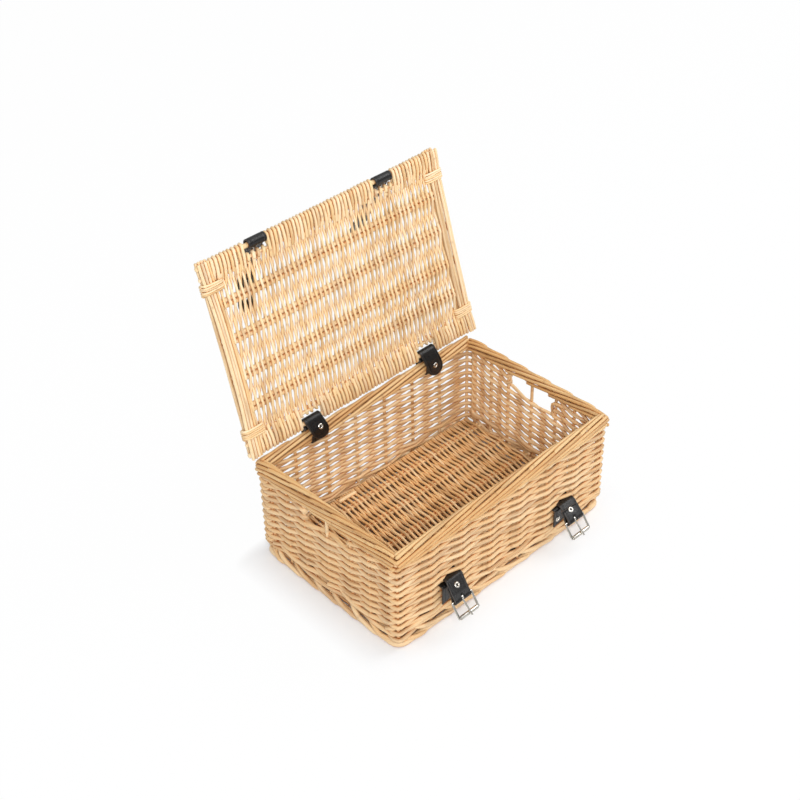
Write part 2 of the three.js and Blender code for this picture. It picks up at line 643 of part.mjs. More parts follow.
BUCKLES.forEach((x, i) => {
  const side = sideName(x);
  const { barZ, strips, rivet } = buckleStrapPaths(laceLevels[i]);
  const band = union(strips.map((path) => prismX(strip(path, LEATHER), x - halfStrap, x + halfStrap)));
  const prongSlot = box(-slotSide, slotSide, -2 * barLoop, 2 * barLoop, -2 * barLoop, tabThroat - GAP)
    .rotate([-TAB_SLOPE_DEG, 0, 0])
    .translate([x, barY, barZ]);
  const tabBore = rivetBore(x, rivet[0], rivet[1], -TAB_SLOPE_DEG, 2 * LEATHER);
  place(`buckle_strap_${side}`, cut(band, [prongSlot, tabBore]), leather);
  place(`buckle_rivet_${side}`, rivetSolid(2 * LEATHER), nickel, ...rivet, -TAB_SLOPE_DEG, x);
  place(`buckle_frame_${side}`, frameSolid, nickel, barY, barZ, -TAB_SLOPE_DEG, x);
  place(`buckle_roller_${side}`, rollerSolid, nickel, barY, barZ, -TAB_SLOPE_DEG, x);
  place(`buckle_prong_${side}`, prongSolid, nickel, barY, barZ, -TAB_SLOPE_DEG, x);
});

export default group;
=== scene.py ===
"""Looks of the wicker hamper basket: every willow rod, strap and buckle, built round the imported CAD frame."""
import math
import random

import bmesh
import bpy
import numpy as np
from mathutils import Matrix, Vector


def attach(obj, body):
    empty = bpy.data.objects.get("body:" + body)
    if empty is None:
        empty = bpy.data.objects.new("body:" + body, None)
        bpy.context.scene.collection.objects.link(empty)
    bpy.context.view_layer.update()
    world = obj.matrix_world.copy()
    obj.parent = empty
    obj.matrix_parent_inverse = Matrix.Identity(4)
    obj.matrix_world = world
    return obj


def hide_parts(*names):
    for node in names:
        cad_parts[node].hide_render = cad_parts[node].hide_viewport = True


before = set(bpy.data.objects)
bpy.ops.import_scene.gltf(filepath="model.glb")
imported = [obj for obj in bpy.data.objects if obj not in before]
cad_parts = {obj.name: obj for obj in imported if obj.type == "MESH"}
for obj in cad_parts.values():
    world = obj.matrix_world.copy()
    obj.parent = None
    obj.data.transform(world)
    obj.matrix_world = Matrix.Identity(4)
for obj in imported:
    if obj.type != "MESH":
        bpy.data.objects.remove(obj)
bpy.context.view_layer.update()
MM = 0.001

# sizes of the CAD model, in millimetres
WALL_X, WALL_Y = 173.5, 114.5
POST_X, POST_Y = 171.5, 112.5
LONG_STAKES = [-122, -73, -24.4, 24.4, 73, 122]
END_STAKES = [-99, -70, -40, 0, 40, 70, 99]
RIM_TOP = 146
STAKE_RADIUS = 2.2
FLOOR_LEVEL = 20.5
FLOOR_STICKS = [-84, -42, 0, 42, 84]
HOLE_LEVEL = 103
HINGE_Y, HINGE_Z = 117, 157
LID_OPEN = math.radians(105)
LID_SPAN = 237
LID_HALF = 188
LID_STICKS = [LID_SPAN * share for share in (0.231, 0.402, 0.598, 0.786)]
SECOND_ROD = 13.5
STRAP_WIDTH = 26
LEATHER = 2.2
HINGE_STRAPS = {"left": -91.5, "right": 100.5}
CLOSURES = {"left": -102, "right": 95}
CLOSURE_LENGTH = 110
CLOSURE_LEAN = 27
CLOSURE_HOLES = [58, 70, 82, 94]
BUCKLES = {"left": (-97, 62), "right": (98, 56)}
LACE_SPACING = 10.4
TAB_SLOPE = 37
TAB_LENGTH = 27
TAB_RIVET = 15.5
FRAME_WIRE = 1.5
ROD_LOOP = 4.9
GAP = 0.3

# sizes of the willow work, in millimetres
WALE_ROWS, TOP_ROW = 3, 23
FIRST_ROW, ROW = 14.2, 5.1
WEAVER, WEAVER_TIP = 2.7, 2.45
EDGE_ROD = 3.0
STICK = 2.2
STICK_APART = 3.2
LID_STICK = 2.9
STRAND_PITCH = 3.43
STRAND = 1.68
LID_STRANDS = 98
BINDING_PLACE = 26.5
ROD_SIDES = 8


# shader and geometry trees

class Value:
    """A node's output; sums and products of it add Math nodes."""

    def __init__(self, tree, socket):
        self.tree, self.socket = tree, socket

    def maths(self, operation, *terms):
        return self.tree.node("ShaderNodeMath", {"operation": operation}, dict(enumerate(terms)))

    def __add__(self, other):
        return self.maths("ADD", self, other)

    def __radd__(self, other):
        return self.maths("ADD", other, self)

    def __sub__(self, other):
        return self.maths("SUBTRACT", self, other)

    def __rsub__(self, other):
        return self.maths("SUBTRACT", other, self)

    def __mul__(self, other):
        return self.maths("MULTIPLY", self, other)

    def __rmul__(self, other):
        return self.maths("MULTIPLY", other, self)

    def __pow__(self, other):
        return self.maths("POWER", self, other)

    def __abs__(self):
        return self.maths("ABSOLUTE", self)

    def at_least(self, other):
        return self.maths("MAXIMUM", self, other)

    def ramp(self, low, high, to_low=0.0, to_high=1.0):
        """This value, from low..high to to_low..to_high, clamped."""
        return self.tree.node("ShaderNodeMapRange", {"clamp": True},
                              {0: self, 1: low, 2: high, 3: to_low, 4: to_high})


class Tree:
    """Builds one node tree."""

    def __init__(self, tree):
        self.tree = tree

    def node(self, kind, settings=None, inputs=None, out=0):
        node = self.tree.nodes.new(kind)
        for key, setting in (settings or {}).items():
            setattr(node, key, setting)
        for key, value in (inputs or {}).items():
            if isinstance(value, Value):
                self.tree.links.new(value.socket, node.inputs[key])
            else:
                node.inputs[key].default_value = value
        return Value(self, node.outputs[out]) if node.outputs else node

    def mix(self, factor, a, b, blend="MIX"):
        return self.node("ShaderNodeMix", {"data_type": "RGBA", "blend_type": blend},
                         {0: factor, 6: a, 7: b}, 2)

    def noise(self, vector, scale, detail=3.0, rough=0.55):
        return self.node("ShaderNodeTexNoise", {},
                         {"Vector": vector, "Scale": scale, "Detail": detail, "Roughness": rough})

    def attribute(self, name, out="Fac"):
        return self.node("ShaderNodeAttribute", {"attribute_name": name}, {}, out)


def new_material(name):
    material = bpy.data.materials.new(name)
    material.use_nodes = True
    material.node_tree.nodes.clear()
    return material, Tree(material.node_tree)


def rgb(r, g, b):
    """A linear colour from 0-255 screen values."""
    linear = [c / 255 / 12.92 if c <= 10 else ((c / 255 + 0.055) / 1.055) ** 2.4 for c in (r, g, b)]
    return (*linear, 1.0)


def finish_surface(tree, constants, linked):
    shader = tree.node("ShaderNodeBsdfPrincipled", {}, {**constants, **linked})
    tree.node("ShaderNodeOutputMaterial", {}, {"Surface": shader})


def willow(name, pale, mid, deep, knot, crevice_shade):
    """Peeled willow: fibres along each rod, its own colour on every rod, knots, and shade painted into crevices
    in a browner colour.
    """
    material, tree = new_material(name)
    tint = tree.attribute("tint")
    ring = tree.attribute("ring", "Vector")
    along = tree.attribute("along")
    across = tree.node("ShaderNodeVectorMath", {"operation": "SCALE"}, {0: ring, 3: 0.0025})
    start = tree.node("ShaderNodeCombineXYZ", {}, {2: along + tint * 7.3})
    place = tree.node("ShaderNodeVectorMath", {"operation": "ADD"}, {0: across, 1: start})
    fibre_place = tree.node("ShaderNodeVectorMath", {"operation": "MULTIPLY"},
                            {0: place, 1: (1.0, 1.0, 0.05)})
    fibre = tree.noise(fibre_place, 1500.0, 4.0, 0.6)
    streak = tree.noise(fibre_place, 420.0, 2.0)
    patch = tree.noise(place, 45.0, 2.0)
    ring_place = tree.node("ShaderNodeCombineXYZ", {}, {2: along + tint * 31.7})
    node_line = abs(tree.noise(ring_place, 9.0, 0.0) - 0.5).ramp(0.0, 0.012, 1.0, 0.0)
    shade = (tint * 0.5 + patch * 0.4 + streak * 0.14 - 0.12).ramp(0.0, 1.0)
    colour = tree.mix(shade.ramp(0.0, 0.5), pale, mid)
    colour = tree.mix(shade.ramp(0.5, 1.0), colour, deep)
    colour = tree.mix(fibre.ramp(0.5, 0.85, 0.0, 0.1), colour, deep)
    colour = tree.mix(node_line * streak.ramp(0.35, 0.6, 0.05, 0.4), colour, knot)
    # Painted shade: where the room is closed in round a point, the colour is multiplied by the crevice shade
    # colour.
    open_sky = tree.node("ShaderNodeAmbientOcclusion", {"samples": 5}, {"Distance": 0.004}, "AO")
    painted_shade_mask = open_sky.ramp(0.15, 0.7, 1.0, 0.0)
    colour = tree.mix(painted_shade_mask, colour, tree.mix(1.0, colour, crevice_shade, "MULTIPLY"))
    rough = 0.42 + fibre * 0.2 - tint * 0.06
    bump = tree.node("ShaderNodeBump", {}, {"Strength": 0.16, "Distance": 0.0004,
                                            "Height": fibre * 0.5 + streak * 0.5 + node_line * 0.6})
    finish_surface(tree, {"Specular IOR Level": 0.6},
                   {"Base Color": colour, "Roughness": rough, "Normal": bump})
    return material


def black_leather(name):
    """Black strap leather: fine pebble grain, a sheen, a pressed line along the border and rubbed edges."""
    material, tree = new_material(name)
    place = tree.node("ShaderNodeTexCoord", {}, {}, "Object")
    pebble = tree.node("ShaderNodeTexVoronoi", {"feature": "DISTANCE_TO_EDGE"},
                       {"Vector": place, "Scale": 1300.0}).ramp(0.0, 0.25)
    crease = tree.noise(place, 260.0, 4.0)
    cloud = tree.noise(place, 70.0, 3.0)
    edge = tree.attribute("edge").ramp(0.0, 1.0)
    line = tree.attribute("line")
    worn = edge * cloud.ramp(0.3, 0.6, 0.35, 1.0)
    colour = tree.mix(cloud.ramp(0.3, 0.75), rgb(13, 12, 12), rgb(24, 22, 22))
    colour = tree.mix(worn * 0.6, colour, rgb(84, 76, 70))
    rough = 0.26 + crease * 0.16 + worn * 0.2 + line * 0.1 - cloud * 0.1
    bump = tree.node("ShaderNodeBump", {}, {"Strength": 0.5, "Distance": 0.0004,
                                            "Height": pebble * 0.25 + crease * 0.45})
    finish_surface(tree, {"Specular IOR Level": 0.42},
                   {"Base Color": colour, "Roughness": rough, "Normal": bump})
    return material


def nickel_plate(name):
    """Bright nickel plate with fine rubbing and a little dulling."""
    material, tree = new_material(name)
    place = tree.node("ShaderNodeTexCoord", {}, {}, "Object")
    stretched = tree.node("ShaderNodeVectorMath", {"operation": "MULTIPLY"}, {0: place, 1: (0.12, 1.0, 1.0)})
    rubbing = tree.noise(stretched, 1800.0, 3.0)
    cloud = tree.noise(place, 150.0, 3.0)
    colour = tree.mix(cloud.ramp(0.35, 0.75), rgb(226, 223, 216), rgb(196, 190, 180))
    rough = 0.1 + rubbing * 0.12 + cloud * 0.08
    bump = tree.node("ShaderNodeBump", {}, {"Strength": 0.12, "Distance": 0.0002, "Height": rubbing})
    finish_surface(tree, {"Metallic": 1.0}, {"Base Color": colour, "Roughness": rough, "Normal": bump})
    return material


# The last colour of each willow is its painted crevice shade.
LID_BUFF = willow("lid_willow", rgb(250, 230, 196), rgb(241, 210, 159), rgb(227, 181, 114),
                  rgb(160, 104, 50), rgb(224, 158, 84))
BUFF = willow("wall_willow", rgb(239, 212, 170), rgb(228, 189, 138), rgb(214, 166, 107),
              rgb(150, 96, 50), rgb(222, 150, 76))
FLOOR_BUFF = willow("floor_willow", rgb(252, 224, 178), rgb(240, 196, 136), rgb(212, 156, 92),
                    rgb(120, 70, 30), rgb(222, 154, 90))
BORDER_BUFF = willow("border_willow", rgb(232, 200, 148), rgb(218, 174, 116), rgb(190, 137, 77),
                     rgb(140, 86, 40), rgb(216, 148, 76))
BLACK = black_leather("black_leather")
NICKEL = nickel_plate("nickel_plate")


def new_piece(name, mesh):
    piece = bpy.data.objects.new(name, mesh)
    bpy.context.scene.collection.objects.link(piece)
    return piece


def apply_modifiers(piece):
    """Leaves a plain mesh in place of the piece's modifiers."""
    bpy.context.view_layer.update()
    mesh = bpy.data.meshes.new_from_object(piece.evaluated_get(bpy.context.evaluated_depsgraph_get()))
    piece.modifiers.clear()
    piece.data = mesh


def settle(piece, body, nodes):
    """Rides the piece on its body, in place of its CAD nodes."""
    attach(piece, body)
    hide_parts(*nodes)


def new_geometry_tree(name, inputs):
    """A geometry tree with a geometry and the named inputs coming in, and those as values."""
    tree = bpy.data.node_groups.new(name, "GeometryNodeTree")
    for label, kind in (("Geometry", "Geometry"), *inputs):
        tree.interface.new_socket(label, in_out="INPUT", socket_type="NodeSocket" + kind)
    tree.interface.new_socket("Geometry", in_out="OUTPUT", socket_type="NodeSocketGeometry")
    build = Tree(tree)
    given = tree.nodes.new("NodeGroupInput")
    return build, [Value(build, given.outputs[i]) for i in range(len(inputs) + 1)]


def rod_tree():
    """Geometry nodes: a willow rod round every edge path, with its thickness read from the path."""
    inputs = (("Sides", "Int"), ("Willow", "Material"))
    build, (paths, sides, finish) = new_geometry_tree("willow_rods", inputs)
    curve = build.node("GeometryNodeMeshToCurve", {}, {"Mesh": paths})
    thick = build.node("GeometryNodeInputNamedAttribute", {"data_type": "FLOAT"}, {"Name": "thick"})
    length = build.node("GeometryNodeSplineParameter", {}, {}, "Length")
    curve = build.node("GeometryNodeStoreNamedAttribute", {"data_type": "FLOAT", "domain": "POINT"},
                       {"Geometry": curve, "Name": "along", "Value": length})
    circle = build.node("GeometryNodeCurvePrimitiveCircle", {"mode": "RADIUS"},
                        {"Resolution": sides, "Radius": 1.0})
    spot = build.node("GeometryNodeInputPosition")
    circle = build.node("GeometryNodeStoreNamedAttribute", {"data_type": "FLOAT_VECTOR", "domain": "POINT"},
                        {"Geometry": circle, "Name": "ring", "Value": spot})
    tube = build.node("GeometryNodeCurveToMesh", {},
                      {"Curve": curve, "Profile Curve": circle, "Scale": thick, "Fill Caps": True})
    tube = build.node("GeometryNodeSetShadeSmooth", {}, {"Geometry": tube, "Shade Smooth": True})
    tube = build.node("GeometryNodeRealizeInstances", {}, {"Geometry": tube})
    tube = build.node("GeometryNodeSetMaterial", {}, {"Geometry": tube, "Material": finish})
    build.node("NodeGroupOutput", {}, {0: tube})
    return build.tree


def apply_tree(piece, tree, values):
    """Runs a geometry tree on a piece and leaves a plain mesh."""
    modifier = piece.modifiers.new(tree.name, "NODES")
    modifier.node_group = tree
    for item in tree.interface.items_tree:
        if item.name in values:
            modifier[item.identifier] = values[item.name]
    apply_modifiers(piece)
    piece.data.name = piece.name


ROD_TREE = rod_tree()


# paths

def smooth_path(points, step=5.0):
    """A smooth path through the points, with a point about every step."""
    given = np.array(points, float)
    ends = np.vstack([2 * given[0] - given[1], given, 2 * given[-1] - given[-2]])
    path = []
    for i in range(1, len(ends) - 2):
        a, b, c, d = ends[i - 1:i + 3]
        count = max(1, int(round(np.linalg.norm(c - b) / step)))
        for t in np.arange(count) / count:
            path.append(0.5 * (2 * b + (c - a) * t + (2 * a - 5 * b + 4 * c - d) * t * t
                               + (3 * b - a - 3 * c + d) * t ** 3))
    path.append(given[-1])
    return np.array(path)


class Rods:
    """Willow rods of one piece, as paths with a thickness and a tint."""

    def __init__(self, seed):
        self.random = random.Random(seed)
        self.points, self.edges, self.thick, self.tint = [], [], [], []

    def add(self, path, radius, tip=None, tint=None, blunt=0.6, slim=None):
        """One rod; tip is its radius at the far end, blunt rounds both ends, slim thins it at a point."""
        path = np.array(path, float)
        tip = radius if tip is None else tip
        share = np.linspace(0, 1, len(path))
        radii = radius + (tip - radius) * share
        if slim:
            radii = radii * np.array([slim(point) for point in path])
        if blunt:
            first = (path[0] - path[1]) / (np.linalg.norm(path[0] - path[1]) + 1e-9)
            last = (path[-1] - path[-2]) / (np.linalg.norm(path[-1] - path[-2]) + 1e-9)
            path = np.vstack([path[0] + first * radius * blunt, path[0] + first * radius * blunt * 0.6, path,
                              path[-1] + last * tip * blunt * 0.6, path[-1] + last * tip * blunt])
            radii = np.concatenate([[radius * 0.45, radius * 0.82], radii, [tip * 0.82, tip * 0.45]])
        base = len(self.points)
        self.points.extend(path * MM)
        self.edges.extend((base + i, base + i + 1) for i in range(len(path) - 1))
        self.thick.extend(radii * MM)
        self.tint.extend([self.random.random() if tint is None else tint] * len(path))

    def make(self, name, body, nodes, finish=BUFF, slot="willow"):
        mesh = bpy.data.meshes.new(name)
        mesh.from_pydata([tuple(p) for p in self.points], self.edges, [])
        for key, values in (("thick", self.thick), ("tint", self.tint)):
            mesh.attributes.new(key, "FLOAT", "POINT").data.foreach_set("value", np.array(values, np.float32))
        piece = new_piece(name, mesh)
        apply_tree(piece, ROD_TREE, {"Sides": ROD_SIDES, "Willow": finish})
        settle(piece, body, nodes)


# stakes round the basket, counterclockwise from the back left corner

def stake_ring():
    """(x, y), outward direction and whether it is a corner post, for every upright in order."""
    ring = [((-POST_X, POST_Y), (-0.7071, 0.7071), True)]
    ring += [((-WALL_X, y), (-1, 0), False) for y in reversed(END_STAKES)]
    ring += [((-POST_X, -POST_Y), (-0.7071, -0.7071), True)]
    ring += [((x, -WALL_Y), (0, -1), False) for x in LONG_STAKES]
    ring += [((POST_X, -POST_Y), (0.7071, -0.7071), True)]
    ring += [((WALL_X, y), (1, 0), False) for y in END_STAKES]
    ring += [((POST_X, POST_Y), (0.7071, 0.7071), True)]
    ring += [((x, WALL_Y), (0, 1), False) for x in reversed(LONG_STAKES)]
    return ring


RING = stake_ring()
COUNT = len(RING)


def round_stake(k, outside, level, reach=3.3):
    """Path points of a rod that passes upright k on its outer or inner side."""
    (x, y), (nx, ny), corner = RING[k % COUNT]
    if not corner:
        sign = 1 if outside else -1
        if nx:
            return [(x + nx * reach * sign, y, level)]
        return [(x - ny * part, y + ny * reach * sign, level) for part in (-5, 5)]
    if not outside:
        return [(x - nx * 1.6, y - ny * 1.6, level)]
    sx, sy = math.copysign(1, nx), math.copysign(1, ny)
    over_x = (sx * (WALL_X - 10), sy * (WALL_Y + 2.4), level)
    over_y = (sx * (WALL_X + 2.4), sy * (WALL_Y - 10), level)
    middle = (x + nx * 4.6, y + ny * 4.6, level)
    return [over_y, middle, over_x] if sx * sy > 0 else [over_x, middle, over_y]


def wander(rng, size):
    """A slow random drift along a row."""
    waves = [(rng.uniform(0.2, 0.9), rng.uniform(0, 6.3), rng.uniform(0.3, 1)) for _ in range(3)]
    return lambda k: size * sum(a * math.sin(f * k + p) for f, p, a in waves) / 1.5


def far_walls(point):
    """Thinner rods were used on the back and right walls, which are more open."""
    return 0.89 if point[1] > WALL_Y - 8 or point[0] > WALL_X - 8 else 1.0


def lay_wale(rods):
    """The lowest rows: rods that pass outside two uprights and inside the third."""
    rng = rods.random
    for row in range(WALE_ROWS):
        level = FIRST_ROW + ROW * row
        drift = wander(rng, 0.35)
        start = rng.randrange(COUNT)
        cuts = [start + round(COUNT * i / 3) for i in range(3)]
        cuts = [k - (k + row) % 3 for k in cuts]
        cuts.append(cuts[0] + COUNT)
        for first, last in zip(cuts, cuts[1:]):
            points = []
            for k in range(first, last + 1):
                (x, _), _, corner = RING[k % COUNT]
                outside = (k + row) % 3 != 0 and not (row == 0 and x < -170 and not corner)
                points += round_stake(k, outside, level + drift(k), 3.4 + rng.uniform(-0.25, 0.25))
            rods.add(smooth_path(points), WEAVER, WEAVER_TIP, rng.uniform(0.3, 0.9), blunt=0.5, slim=far_walls)


def weave_walls():
    """Rods that pass outside and inside by turns, one row up at every upright, or down along the front."""
    rods = Rods(11)
    rng = rods.random
    lay_wale(rods)
    heights = [0]
    for (x, y), _, _ in RING:
        heights.append(heights[-1] + (-1 if y < -WALL_Y + 8 and x < WALL_X - 8 else 1))
    lap = heights.pop()
    middles = [k for k, ((_, y), _, _) in enumerate(RING) if y == 0]
    loose, ended, begun = [], {}, {}
    for first in range(lap):
        drift = wander(rng, 0.3)
        run, after_hole = [], False
        for k in range(-3 * COUNT, 4 * COUNT):
            row = first + heights[k % COUNT] + lap * (k // COUNT)
            level = FIRST_ROW + ROW * row - (3.6 if row > TOP_ROW else 0)
            at_hole = level > HOLE_LEVEL and k % COUNT in middles
            if WALE_ROWS - 2 < row < TOP_ROW + 2 and not at_hole:
                run.append((k, row, level + drift(k)))
                continue
            if len(run) > 1:
                if after_hole:
                    begun.setdefault(run[0][0] % COUNT, []).append(run)
                elif at_hole:
                    ended.setdefault(run[-1][0] % COUNT, []).append(run)
                else:
                    loose.append(run)
            run, after_hole = [], at_hole and row < TOP_ROW + 2
    paths = [climb(rng, run) for run in loose]
    for post, runs in list(ended.items()) + list(begun.items()):
        paths += turn_back(rng, post, runs, post in ended)
    for path in paths:
        rods.add(smooth_path(path), WEAVER, WEAVER_TIP, rng.uniform(0.05, 0.75), slim=far_walls)
    return rods


def climb(rng, run):
    points = []
    for k, row, level in run:
        points += round_stake(k, row % 2 == 0, level, 3.4 + rng.uniform(-0.25, 0.25))
    return points


def turn_back(rng, post, runs, ends_here):
    """Rods that meet a hand hole: each one turns round the post at the hole and comes back one row up."""
    (x, y), _, _ = RING[post]
    level_at = lambda run: (run[-1] if ends_here else run[0])[2]
    runs = sorted(runs, key=level_at)
    paths = []
    for low, high in zip(runs[::2], runs[1::2] + [None]):
        turn = (x, y - math.copysign(4.4, y), level_at(low) + ROW / 2)
        there = climb(rng, low) if ends_here else climb(rng, low)[::-1]
        back = []
        if high:
            back = climb(rng, high)[::-1] if ends_here else climb(rng, high)
        paths.append(there + [turn] + back)
    return paths


def wall_stakes():
    rods = Rods(12)
    for (x, y), _, corner in RING:
        top = 134 if corner else 139
        rods.add(smooth_path([(x, y, 9), (x, y, 70), (x, y, top)], 16), STAKE_RADIUS, STAKE_RADIUS * 0.92)
    return rods


# each side's first corner, direction, outward direction, length, and whether it is a long side
SIDES = [
    ((-WALL_X, WALL_Y), (0, -1), (-1, 0), 2 * WALL_Y, False),
    ((-WALL_X, -WALL_Y), (1, 0), (0, -1), 2 * WALL_X, True),
    ((WALL_X, -WALL_Y), (0, 1), (1, 0), 2 * WALL_Y, False),
    ((WALL_X, WALL_Y), (-1, 0), (0, 1), 2 * WALL_X, True),
]


def on_side(side, s, out, level):
    """A point s along one side of the basket, out from the middle of its wall."""
    (x, y), (ax, ay), (nx, ny), _, _ = side
    return (x + ax * s + nx * out, y + ay * s + ny * out, level)


def weave_border():
    """The border: each upright is turned down and laid along the rim, and in over the top."""
    rods = Rods(13)
    rng = rods.random
    top = [(0.0, 3.4, 142.0), (0.25, 2.6, 143.4), (1.1, -1.2, 143.6), (2.0, -4.6, 141.4),
           (2.8, -5.4, 136.8), (3.8, -5.0, 131.5)]
    under = [(-0.3, 0.5, 126.6), (0.1, 4.6, 127.2), (1.0, 5.2, 131.8), (1.9, 5.1, 136.6),
             (2.75, 4.0, 140.4), (3.1, 2.4, 141.0)]
    for side in SIDES:
        length, long_side = side[3:]
        low_end, pitch = (0.0, 46.0) if long_side else (2.0, 36.0)
        for k in range(-4, int(length / pitch) + 3):
            start = pitch * (k + 0.55) + rng.uniform(-2.5, 2.5)
            lean = rng.uniform(-0.3, 0.3)
            for shape, first, thick, margin in ((top, start, (2.2, 1.9), 2.5),
                                                (under, start - pitch * 3.0, (2.25, 2.1), 3.5)):
                run = [(first + turn * pitch, out + lean, level) for turn, out, level in shape]
                add_run(rods, side, run, thick, low_end, margin)
    return rods


def add_run(rods, side, points, thick, low_end, margin):
    """One border rod, cut where its side of the basket ends."""
    length = side[3]
    kept = [p for p in smooth_path(points, 6.0) if -margin < p[0] < length + margin]
    if len(kept) < 4:
        return
    path = []
    for s, out, level in kept:
        near = min(s, length - s)
        sink = max(0.0, 1.0 - (near + margin) / 16) * low_end
        path.append(on_side(side, s, out, level - sink))
    rods.add(path, *thick, blunt=0.75)


def round_corners(out, level, turn=13):
    """A closed path round the basket, out from the middle of its walls, with rounded corners."""
    x, y = WALL_X + out, WALL_Y + out
    path = []
    for sx, sy, first in ((1, -1, -90), (1, 1, 0), (-1, 1, 90), (-1, -1, 180)):
        for step in range(5):
            a = math.radians(first + 22.5 * step)
            path.append((sx * (x - turn) + turn * math.cos(a), sy * (y - turn) + turn * math.sin(a), level))
    return path + path[:2]


def weave_foot():
    """The foot: a thick rod along the ground, and rods that slope down to it and tuck under it."""
    rods = Rods(14)
    rng = rods.random
    rods.add(smooth_path(round_corners(1.6, 3.7), 9.0), 3.5, blunt=0)
    # Filler rods inside the foot: the rods are real, and their darkest tint is painted shade behind the foot.
    for out, level in ((-5.5, 5.0), (-7.0, 9.0), (-5.5, 12.6)):
        rods.add(smooth_path(round_corners(out, level, 6), 12.0), 2.6, blunt=0, tint=1.0)
    for side in SIDES:
        length, long_side = side[3:]
        pitch = 44.0 if long_side else 33.0
        for k in range(-1, int(length / pitch) + 1):
            s = pitch * (k + 0.7) + rng.uniform(-2, 2)
            shape = [(s - 8, -2.5, 16), (s + 2, 3.2, 14.2), (s + 0.4 * pitch, 4.9, 9.6),
                     (s + 0.85 * pitch, 5.0, 6.2), (s + 1.15 * pitch, 4.0, 3.4), (s + 1.4 * pitch, 0.5, 2.9)]
            path = [p for p in smooth_path(shape, 5.0) if 6 < p[0] < length - 6]
            tucked = [(p[0], p[1] - 0.4 * max(0, 24 - p[0], 24 + p[0] - length), p[2]) for p in path]
            if len(path) > 3:
                rods.add([on_side(side, *p) for p in tucked], 2.9, 2.6)
    return rods


def weave_floor():
    """Strands from front to back over and under the sticks, each one a place to the right at every stick."""
    rods = Rods(15)
    rng = rods.random
    reach_x, reach_y = 164.0, 106.0
    passes = int(2 * reach_x / STRAND_PITCH)
    for j in range(-len(FLOOR_STICKS), passes + 1):
        x = -reach_x + STRAND_PITCH * j
        points = [(x - STRAND_PITCH * 0.6, -reach_y, FLOOR_LEVEL)]
        for i, y in enumerate(FLOOR_STICKS):
            over = 1 if (i + j) % 2 == 0 else -1
            sway = STRAND_PITCH * i + rng.uniform(-0.6, 0.6)
            points += [(x + sway, y + part, FLOOR_LEVEL + over * 3.7) for part in (-STICK, STICK)]
        points.append((x + STRAND_PITCH * (len(FLOOR_STICKS) - 0.4), reach_y, FLOOR_LEVEL))
        points = [point for point in points if abs(point[0]) < reach_x + 1]
        if len(points) < 3:
            continue
        thick = STRAND * rng.uniform(0.96, 1.16)
        rods.add(smooth_path(points[::-1] if j % 2 else points, 4.5), thick, thick * 0.92)
    return rods


def floor_sticks():
    rods = Rods(16)
    for y in FLOOR_STICKS:
        for part in (-STICK, STICK):
            rods.add(smooth_path([(x, y + part, FLOOR_LEVEL) for x in (-165, 0, 165)], 20), STICK)
    rods.add(smooth_path([(-71, 98, 24.6), (-58, 97.5, 24.8), (-46, 97, 24.4)], 4), 2.7, tint=0.0)
    return rods


# lid

def on_lid(x, u, n):
    """A point of the open lid: u from the hinge axis to the free edge, n out of its top face."""
    share = u / LID_SPAN
    x -= 3.5 * share * (x / LID_HALF + 1)
    u += 1.2 * share * (x / LID_HALF)
    c, s = math.cos(LID_OPEN), math.sin(LID_OPEN)
    return (x, HINGE_Y - u * c + n * s, HINGE_Z + u * s + n * c)


def in_notch(x, places):
    return any(abs(x - p) < STRAP_WIDTH / 2 + 3.5 for p in places)


def edge_turns(rods, edge, inward, places):
    """Short rods laid side by side round an edge rod of the lid, with both ends tucked into the weave."""
    rng = rods.random
    x = -168.0
    while x < 168.5:
        notch = in_notch(x + 1.2, places)
        start, radius = (SECOND_ROD, STICK) if notch else (0.0, EDGE_ROD)
        thick = rng.uniform(1.95, 2.3)
        reach = radius + thick - 0.8
        near, far = rng.uniform(18, 25), rng.uniform(16, 22)
        if notch:
            near, far = rng.uniform(17, 22), rng.uniform(16, 21)
        under = 0.4 if notch and inward > 0 else 1.0
        shape = [(near, -1.2), (near - 6, -2.6), (start + (near - start) * 0.45, -reach * 0.94),
                 (start + 2, -reach)]
        for deg in (-55, -20, 20, 55):
            turn = math.radians(deg)
            shape.append((start - reach * math.cos(turn), reach * math.sin(turn)))
        shape += [(start + 2, reach), (start + (far - start) * 0.45, reach * 0.94),
                  (far - 6, 2.6), (far, 1.2)]
        lean, step = rng.uniform(-1.4, 1.4), 3.6 if notch else 2.4
        path = []
        for i, (depth, n) in enumerate(shape):
            slide = lean * depth / 30 + step * min(max(i - 3, 0), 5) / 5
            path.append(on_lid(x + slide, edge + inward * depth, n if n > 0 else n * under))
        rods.add(smooth_path(path, 4.0), thick, thick * 0.92)
        x += rng.uniform(7.2, 8.6) if notch else rng.uniform(4.9, 5.8)


